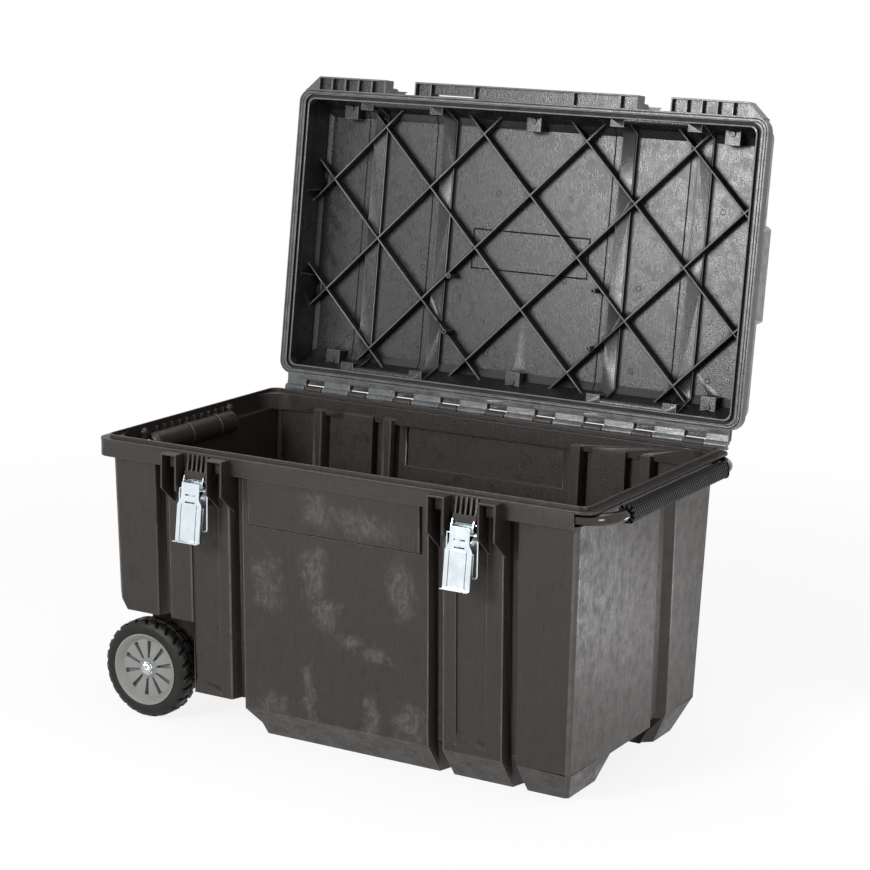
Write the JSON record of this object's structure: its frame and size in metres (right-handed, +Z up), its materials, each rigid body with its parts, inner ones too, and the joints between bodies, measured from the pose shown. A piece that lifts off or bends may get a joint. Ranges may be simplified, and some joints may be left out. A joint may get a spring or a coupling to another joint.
{
  "type": "rolling tool chest",
  "caption": "Large moulded job chest with a hinged, rib-stiffened lid, draw latches, a sliding pull handle and wheels at one end.",
  "frame": {"origin": "centre of the tub's floor, on the ground that the chest stands on", "axes": "+X towards the pull handle, +Y towards the lid hinge, +Z up; the lid stands open as in the picture"},
  "size_m": [0.9602, 0.7375, 1.0568],
  "materials": {
    "moulded_plastic": "moulded charcoal plastic with a faint brushed grain and dust",
    "seal_foam": "soft black seal",
    "zinc_steel": "bright zinc-plated pressed steel",
    "black_steel": "blackened steel of screws, keepers and their rivets",
    "dark_chrome": "dark chromed tube",
    "grip_plastic": "hatched black grip",
    "sliding_plastic": "smooth black guide plastic",
    "grey_plastic": "light grey moulded wheel",
    "tyre_rubber": "black semi-hard tyre with blocks"
  },
  "bodies": {
    "tub": {"tub_shell": "moulded_plastic", "hinge_pin": "zinc_steel", "handle_bushes": "sliding_plastic", "latch_base_left": "zinc_steel", "latch_base_right": "zinc_steel", "latch_rivets": "zinc_steel", "latch_pins": "zinc_steel", "axle": "zinc_steel", "axle_caps": "zinc_steel", "axle_washers": "zinc_steel"},
    "lid": {"lid_shell": "moulded_plastic", "lid_seal": "seal_foam", "lid_keepers": "black_steel", "keeper_rivets": "black_steel", "lid_screws": "black_steel"},
    "pull_handle": {"handle_tube": "dark_chrome", "handle_grip": "grip_plastic", "handle_end_plugs": "sliding_plastic"},
    "wheel_front": {"wheel_rim_front": "grey_plastic", "tyre_front": "tyre_rubber"},
    "wheel_rear": {"wheel_rim_rear": "grey_plastic", "tyre_rear": "tyre_rubber"},
    "lever_left": {"latch_lever_left": "zinc_steel"},
    "lever_right": {"latch_lever_right": "zinc_steel"},
    "bail_left": {"latch_bail_left": "zinc_steel"},
    "bail_right": {"latch_bail_right": "zinc_steel"}
  },
  "joints": [
    {"name": "lid_hinge", "type": "hinge", "parent": "tub", "child": "lid", "pos_m": [0, 0.29, 0.483], "axis": [1, 0, 0], "range_deg": [0, 97]},
    {"name": "handle_slide", "type": "slide", "parent": "tub", "child": "pull_handle", "axis": [1, 0, 0], "range_m": [0, 0.459]},
    {"name": "wheel_front_roll", "type": "hinge", "parent": "tub", "child": "wheel_front", "pos_m": [-0.377, -0.2245, 0.086], "axis": [0, 1, 0], "continuous": true},
    {"name": "wheel_rear_roll", "type": "hinge", "parent": "tub", "child": "wheel_rear", "pos_m": [-0.377, 0.2245, 0.086], "axis": [0, 1, 0], "continuous": true},
    {"name": "lever_left_swing", "type": "hinge", "parent": "tub", "child": "lever_left", "pos_m": [-0.252, -0.2782, 0.43], "axis": [-1, 0, 0], "range_deg": [-5, 110]},
    {"name": "lever_right_swing", "type": "hinge", "parent": "tub", "child": "lever_right", "pos_m": [0.252, -0.2782, 0.43], "axis": [-1, 0, 0], "range_deg": [-5, 110]},
    {"name": "bail_left_swing", "type": "hinge", "parent": "lever_left", "child": "bail_left", "pos_m": [-0.252, -0.27888, 0.42404], "axis": [1, 0, 0], "range_deg": [-3, 22]},
    {"name": "bail_right_swing", "type": "hinge", "parent": "lever_right", "child": "bail_right", "pos_m": [0.252, -0.27888, 0.42404], "axis": [1, 0, 0], "range_deg": [-3, 22]}
  ]
}
